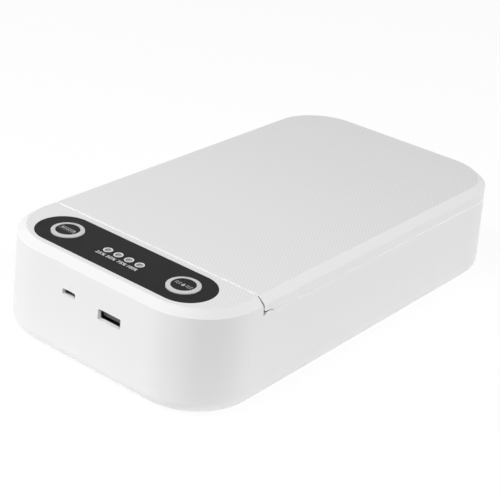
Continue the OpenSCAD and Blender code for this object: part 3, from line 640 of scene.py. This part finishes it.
def contact_strips(name, tongue, count, pitch, width, rise, thickness):
    """Sprung contacts along a socket's tongue, each with a hump near the mouth."""
    low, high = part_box(tongue)
    depth = high.y - low.y
    # shares of the tongue's depth and of the hump's rise
    top = [(0.03, 0.1), (0.07, 0.75), (0.12, 1.0), (0.2, 0.9), (0.32, 0.35), (0.5, 0.2), (0.95, 0.2)]
    upper = [(low.y + depth*along, high.z + rise*up) for along, up in top]
    lower = [(y, max(z - thickness, high.z - thickness/2)) for y, z in upper]
    bm = bmesh.new()
    for i in range(count):
        x = (low.x + high.x)/2 + (i - (count - 1)/2)*pitch
        add_prism(bm, upper + lower[::-1], 0, x - width/2, x + width/2)
    return carry(from_bmesh(name, bm), "base", "socket_metal", GOLD)


contact_strips("usb_a_contacts", "usb_a_tongue", 4, 2.2*MM, 1.0*MM, 0.35*MM, 0.16*MM)
contact_strips("micro_usb_contacts", "micro_usb_tongue", 5, 0.65*MM, 0.32*MM, 0.12*MM, 0.08*MM)


# How far the casing leans in at its rim, and where the rim's lip starts and ends
RIM_LEAN = 1.505*MM
LIP_START = JOINT_Y + 6.6*MM
SCOOP_HALF = 11*MM
# distance out from the base's side, and height over the lid's lower edge
LIP_PROFILE = [(0.0, -0.32*MM), (0.02*MM, -0.2*MM), (-0.2*MM, 0.12*MM), (-0.22*MM, 0.12*MM),
               (-0.22*MM, -0.1*MM)]


def add_sweep(bm, path, profile):
    """A profile of (out, up) carried along points that each know the way out."""
    rings = []
    for x, y, out_x, out_y in path:
        rings.append([bm.verts.new((x + out*out_x, y + out*out_y, RIM_Z + up)) for out, up in profile])
    count = len(profile)
    for a, b in zip(rings, rings[1:]):
        for i in range(count):
            j = (i + 1) % count
            bm.faces.new((a[i], a[j], b[j], b[i]))
    bm.faces.new(rings[0])
    bm.faces.new(rings[-1])


def rim_lip():
    """The lip along the base's rim, from the hinge blocks to the thumb scoop, glossier and painted a lighter white
    as a highlight.
    """
    radius = CORNER_R - RIM_LEAN
    centre_x, centre_y = BODY_W/2 - CORNER_R, BODY_L/2 - CORNER_R
    steps = 32
    bm = bmesh.new()
    for side in (-1, 1):
        path = [(side*(centre_x + radius), LIP_START, side, 0)]
        for i in range(steps + 1):
            out_x, out_y = side*math.cos(math.pi/2*i/steps), math.sin(math.pi/2*i/steps)
            path.append((side*centre_x + radius*out_x, centre_y + radius*out_y, out_x, out_y))
        path.append((side*SCOOP_HALF, centre_y + radius, 0, 1))
        add_sweep(bm, path, LIP_PROFILE)
    return carry(from_bmesh("rim_lip", bm), "base", "white_shell", RIM_HIGHLIGHT)


rim_lip()

# The seal's half length, how deep it lies, its thickness, its lap on the housing and its chamfer
SEAL_HALF = 56.2*MM
SEAL_DOWN = 0.06*MM
SEAL_THICK = 0.15*MM
SEAL_LAP = 0.1*MM
SEAL_CHAMFER = 0.05*MM
# the open lid leans 0.22 mm into the seam, so the seal stays a little more than that away from the shut lid
SEAL_SHORT = 0.24*MM


def seam_seal():
    """The soft lip on the housing's back edge, over the near part of the seam in front of the lid."""
    bm = bmesh.new()
    top = TOP_Z - SEAL_DOWN
    back = JOINT_Y - SEAL_SHORT
    front = JOINT_Y - SEAM_GAP - SEAL_LAP
    profile = [(front, top), (back - SEAL_CHAMFER, top), (back, top - SEAL_CHAMFER), (back, top - SEAL_THICK),
               (front, top - SEAL_THICK)]
    add_prism(bm, profile, 0, -SEAL_HALF, SEAL_HALF)
    return carry(from_bmesh("seam_seal", bm), "base", "silicone", SEAL_MATT)


seam_seal()

# radius, and where it starts and stops from the tube's end: the stem, then the cup
ELECTRODE = ((0.35*MM, 0.5*MM, 6.5*MM), (1.05*MM, 6.0*MM, 12.0*MM))


def tube_electrodes(tube, body):
    """The metal cups and their stems at both ends of a tube, seen through the glass."""
    low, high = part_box(tube)
    centre = (low + high)/2
    bm = bmesh.new()
    for end, way in ((low.y, 1), (high.y, -1)):
        for radius, start, stop in ELECTRODE:
            turns = [2*math.pi*i/20 for i in range(20)]
            ring = [(centre.x + radius*math.cos(a), centre.z + radius*math.sin(a)) for a in turns]
            add_prism(bm, ring, 1, end + way*start, end + way*stop)
    return carry(from_bmesh(tube + "_electrodes", bm), body, "screw_steel")


for side in ("left", "right"):
    tube_electrodes("lower_tube_" + side, "base")
    tube_electrodes("upper_tube_" + side, "lid")


def chip(bodies, leads, centre, floor_z, size, pins):
    """A chip's moulded body and its bent legs along both long sides."""
    x, y = centre
    length, width, height = size
    lift, bevel = 0.12*MM, 0.12*MM
    add_block(bodies, (x - length/2, y - width/2, floor_z + lift),
              (x + length/2, y + width/2, floor_z + height), bevel)
    pitch, reach, thick, wide = 1.27*MM, 1.0*MM, 0.2*MM, 0.42*MM
    shoulder = floor_z + height/2
    # a leg's side view: distance out from the body, and height
    leg = [(-0.1*MM, shoulder + thick), (0.45*MM, shoulder + thick), (0.62*MM, floor_z + thick),
           (reach, floor_z + thick), (reach, floor_z), (0.45*MM, floor_z), (0.28*MM, shoulder), (-0.1*MM, shoulder)]
    for i in range(pins):
        at = x + (i - (pins - 1)/2)*pitch
        for way in (-1, 1):
            profile = [(y + way*(width/2 + out), z) for out, z in leg]
            add_prism(leads, profile, 0, at - wide/2, at + wide/2)


def two_ended(bodies, ends, centre, floor_z, size):
    """A small part with a body and two soldered ends, lying along X."""
    x, y = centre
    length, width, height = size
    cap = length*0.2
    add_block(bodies, (x - length/2 + cap, y - width/2, floor_z),
              (x + length/2 - cap, y + width/2, floor_z + height*0.94))
    for way in (-1, 1):
        inner, outer = x + way*(length/2 - cap), x + way*length/2
        add_block(ends, (min(inner, outer), y - width/2, floor_z),
                  (max(inner, outer), y + width/2, floor_z + height), 0.05*MM)


# length, width and height of the parts on the boards
LONG_CHIP = (10*MM, 4*MM, 1.6*MM)
SHORT_CHIP = (5*MM, 4*MM, 1.6*MM)
RESISTOR = (2.0*MM, 1.25*MM, 0.55*MM)
CERAMIC = (3.2*MM, 1.6*MM, 1.2*MM)


def populate_main_board():
    """Controller, charger and the small parts round them."""
    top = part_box("main_board")[1].z
    chips, legs, small, tan, ends = (bmesh.new() for _ in range(5))
    chip(chips, legs, (-0.5*MM, -100.5*MM), top, LONG_CHIP, 8)
    chip(chips, legs, (18*MM, -100*MM), top, SHORT_CHIP, 4)
    for i in range(5):
        for y in (-99*MM, -102.5*MM):
            two_ended(small, ends, (-11*MM - 3.2*MM*i, y), top, RESISTOR)
    for i in range(3):
        two_ended(tan, ends, (9*MM, -98*MM - 2.6*MM*i), top, CERAMIC)
        two_ended(tan, ends, (-17*MM, -91*MM + 2.6*MM*i), top, CERAMIC)
    carry(from_bmesh("board_chips", chips), "base", "switch_black")
    carry(from_bmesh("board_chip_legs", legs), "base", "socket_metal")
    carry(from_bmesh("board_resistors", small), "base", "switch_black")
    carry(from_bmesh("board_ceramics", tan), "base", "heater")
    carry(from_bmesh("board_solder_ends", ends), "base", "screw_steel")


# The plugs for the lamp wires: from which X to which, and their two pins
PLUG_X = (24.6*MM, 36.4*MM)
PLUG_PINS_X = (26*MM, 35*MM)


def populate_inverter():
    """Driver chip, resistors and the plugs for the lamp wires."""
    low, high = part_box("inverter_board")
    top, near, far = high.z, low.y, high.y
    chips, legs, plugs, ends, small = (bmesh.new() for _ in range(5))
    chip(chips, legs, (-4.5*MM, (near + far)/2), top, SHORT_CHIP, 4)
    for i in range(4):
        two_ended(small, ends, (-6.5*MM + 3.4*MM*i, near + 3*MM), top, RESISTOR)
    for side in (-1, 1):
        x0, x1 = sorted(side*x for x in PLUG_X)
        add_block(plugs, (x0, far - 3.6*MM, top), (x1, far - 0.3*MM, top + 1.1*MM), 0.15*MM)
        add_block(plugs, (x0, far - 3.6*MM, top + 0.9*MM), (x1, far - 2.7*MM, top + 4.2*MM), 0.15*MM)
        for x in PLUG_PINS_X:
            add_block(ends, (side*x - 0.4*MM, far - 2.4*MM, top + 0.9*MM),
                      (side*x + 0.4*MM, far - 1.6*MM, top + 4*MM), 0.1*MM)
    carry(from_bmesh("inverter_chip", chips), "base", "switch_black")
    carry(from_bmesh("inverter_chip_legs", legs), "base", "socket_metal")
    carry(from_bmesh("inverter_plugs", plugs), "base", "white_inner")
    carry(from_bmesh("inverter_resistors", small), "base", "switch_black")
    carry(from_bmesh("inverter_solder_ends", ends), "base", "screw_steel")


def transformer_winding():
    """Copper wire wound between the two flanges of the transformer."""
    low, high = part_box("inverter_transformer")
    centre = (low + high)/2
    radius, wire, turns, steps = 4.85*MM, 0.3*MM, 7, 24
    flange = 2.4*MM
    start, end = low.z + flange, high.z - flange
    curve = bpy.data.curves.new("winding", "CURVE")
    curve.dimensions = "3D"
    curve.bevel_depth = wire
    curve.bevel_resolution = 2
    curve.use_fill_caps = True
    spline = curve.splines.new("POLY")
    count = turns*steps
    spline.points.add(count)
    for i, point in enumerate(spline.points):
        angle = 2*math.pi*i/steps
        point.co = (centre.x + radius*math.cos(angle), centre.y + radius*math.sin(angle),
                    start + (end - start)*i/count, 1)
    piece = meshed(bpy.data.objects.new("winding", curve), "transformer_winding")
    return carry(piece, "base", "transformer", COPPER)


def capacitor_tops():
    """Bare aluminium tops with their pressed cross, in the sleeves' rims."""
    low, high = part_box("inverter_capacitors")
    radius = (high.y - low.y)/2
    y = (low.y + high.y)/2
    top_r, cross_half, taper, steps = 2.6*MM, 0.22*MM, 0.08, 8
    bm = bmesh.new()
    for i in range(3):
        x = low.x + radius + i*(high.x - low.x - 2*radius)/2
        for quarter in range(4):
            first = math.pi/2*quarter
            gap = Vector((math.cos(first + math.pi/4), math.sin(first + math.pi/4)))*cross_half
            sector = [(x + gap.x, y + gap.y)]
            for step in range(steps + 1):
                angle = first + taper + (math.pi/2 - 2*taper)*step/steps
                sector.append((x + top_r*math.cos(angle), y + top_r*math.sin(angle)))
            add_prism(bm, sector, 2, high.z - 0.02*MM, high.z + 0.12*MM)
    return carry(from_bmesh("capacitor_tops", bm), "base", "reflector")


populate_main_board()
populate_inverter()
transformer_winding()
capacitor_tops()


# Stage and light

FLOOR_R = 3.0
FLOOR_COLOUR = (0.8, 0.8, 0.8, 1)
# the floor as the camera sees it: a dark surface that takes the shadow, and a glow that makes it white
SEEN_FLOOR = (0.12, 0.12, 0.12, 1)
FLOOR_GLOW = 0.9
# what the floor gives off to the object, far from it and beside it
FLOOR_BOUNCE = 0.06
NEAR_BOUNCE = 0.24
BOUNCE_REACH = 22*MM
WORLD_LEVEL = 0.02


def backdrop_rays(material):
    """1 for the rays that see the background directly, in gloss or through glass."""
    path = add_node(material, "ShaderNodeLightPath")
    either = math_node(material, "MAXIMUM", path.outputs["Is Camera Ray"], path.outputs["Is Glossy Ray"])
    return math_node(material, "MAXIMUM", either, path.outputs["Is Transmission Ray"])


def near_object(material):
    """The floor's own light, which rises from its plain level towards the object."""
    x, y, _ = object_xyz(material)
    across = math_node(material, "SUBTRACT", math_node(material, "ABSOLUTE", x), BODY_W/2)
    along = math_node(material, "SUBTRACT", math_node(material, "ABSOLUTE", y), BODY_L/2)
    away = math_node(material, "MAXIMUM", across, along)
    return remap(material, away, NEAR_BOUNCE, FLOOR_BOUNCE, 0.0, BOUNCE_REACH)


def make_floor():
    """A plain pale floor that stays white to the eye and keeps the object's shadow."""
    bm = bmesh.new()
    bmesh.ops.create_circle(bm, cap_ends=True, segments=64, radius=FLOOR_R)
    mesh = bpy.data.meshes.new("floor")
    bm.to_mesh(mesh)
    bm.free()
    floor = bpy.data.objects.new("floor", mesh)
    bpy.context.scene.collection.objects.link(floor)
    material = bpy.data.materials.new("floor")
    material.use_nodes = True
    nodes = material.node_tree.nodes
    nodes.remove(nodes["Principled BSDF"])
    lit = add_node(material, "ShaderNodeBsdfDiffuse", {"Color": FLOOR_COLOUR})
    bounce = add_node(material, "ShaderNodeEmission", {"Strength": near_object(material)})
    room = add_node(material, "ShaderNodeAddShader", {0: lit.outputs[0], 1: bounce.outputs[0]})
    seen = add_node(material, "ShaderNodeBsdfDiffuse", {"Color": SEEN_FLOOR})
    glow = add_node(material, "ShaderNodeEmission", {"Strength": FLOOR_GLOW})
    both = add_node(material, "ShaderNodeAddShader", {0: seen.outputs[0], 1: glow.outputs[0]})
    mix = add_node(material, "ShaderNodeMixShader", {
        0: backdrop_rays(material), 1: room.outputs[0], 2: both.outputs[0]})
    material.node_tree.links.new(mix.outputs[0], nodes["Material Output"].inputs["Surface"])
    mesh.materials.append(material)


def make_world():
    """A faint even light on the object, and white for the rays that see the background."""
    world = bpy.data.worlds.new("world")
    bpy.context.scene.world = world
    world.use_nodes = True
    background = world.node_tree.nodes["Background"]
    background.inputs["Color"].default_value = (1, 1, 1, 1)
    level = remap(world, backdrop_rays(world), WORLD_LEVEL, 1.0)
    world.node_tree.links.new(level, background.inputs["Strength"])


# name, where it hangs, its width and height, and its power in watts
LAMPS = [
    ("left_low_box", (-1.0928, -1.0928, 0.4141), 0.35, 0.35, 9.43),
    ("left_high_box", (-0.8408, -0.8408, 1.0706), 0.35, 0.35, 2.84),
    ("right_high_box", (1.0297, -0.5945, 1.0706), 0.35, 0.35, 6.42),
    ("right_low_box", (1.5697, 0.2768, 0.2), 0.35, 0.35, 4.06),
    ("far_box", (0.7727, 1.3384, 0.4141), 0.35, 0.35, 8.11),
    ("top_box", (0.0262, 0.0, 1.4998), 0.35, 0.35, 2.73),
    ("near_box", (-0.1, -0.45, 0.8), 0.3, 0.2, 2.66),
]
LAMP_TARGET = Vector((0, 0, 0.02))


def make_lamp(name, at, width, height, power):
    """A soft box that faces the object."""
    data = bpy.data.lights.new(name, "AREA")
    data.shape = "RECTANGLE"
    data.size = width
    data.size_y = height
    data.energy = power
    lamp = bpy.data.objects.new(name, data)
    lamp.location = at
    lamp.rotation_euler = (LAMP_TARGET - Vector(at)).to_track_quat("-Z", "Y").to_euler()
    bpy.context.scene.collection.objects.link(lamp)


make_floor()
make_world()
for lamp in LAMPS:
    make_lamp(*lamp)
bpy.context.scene.view_settings.view_transform = "Standard"
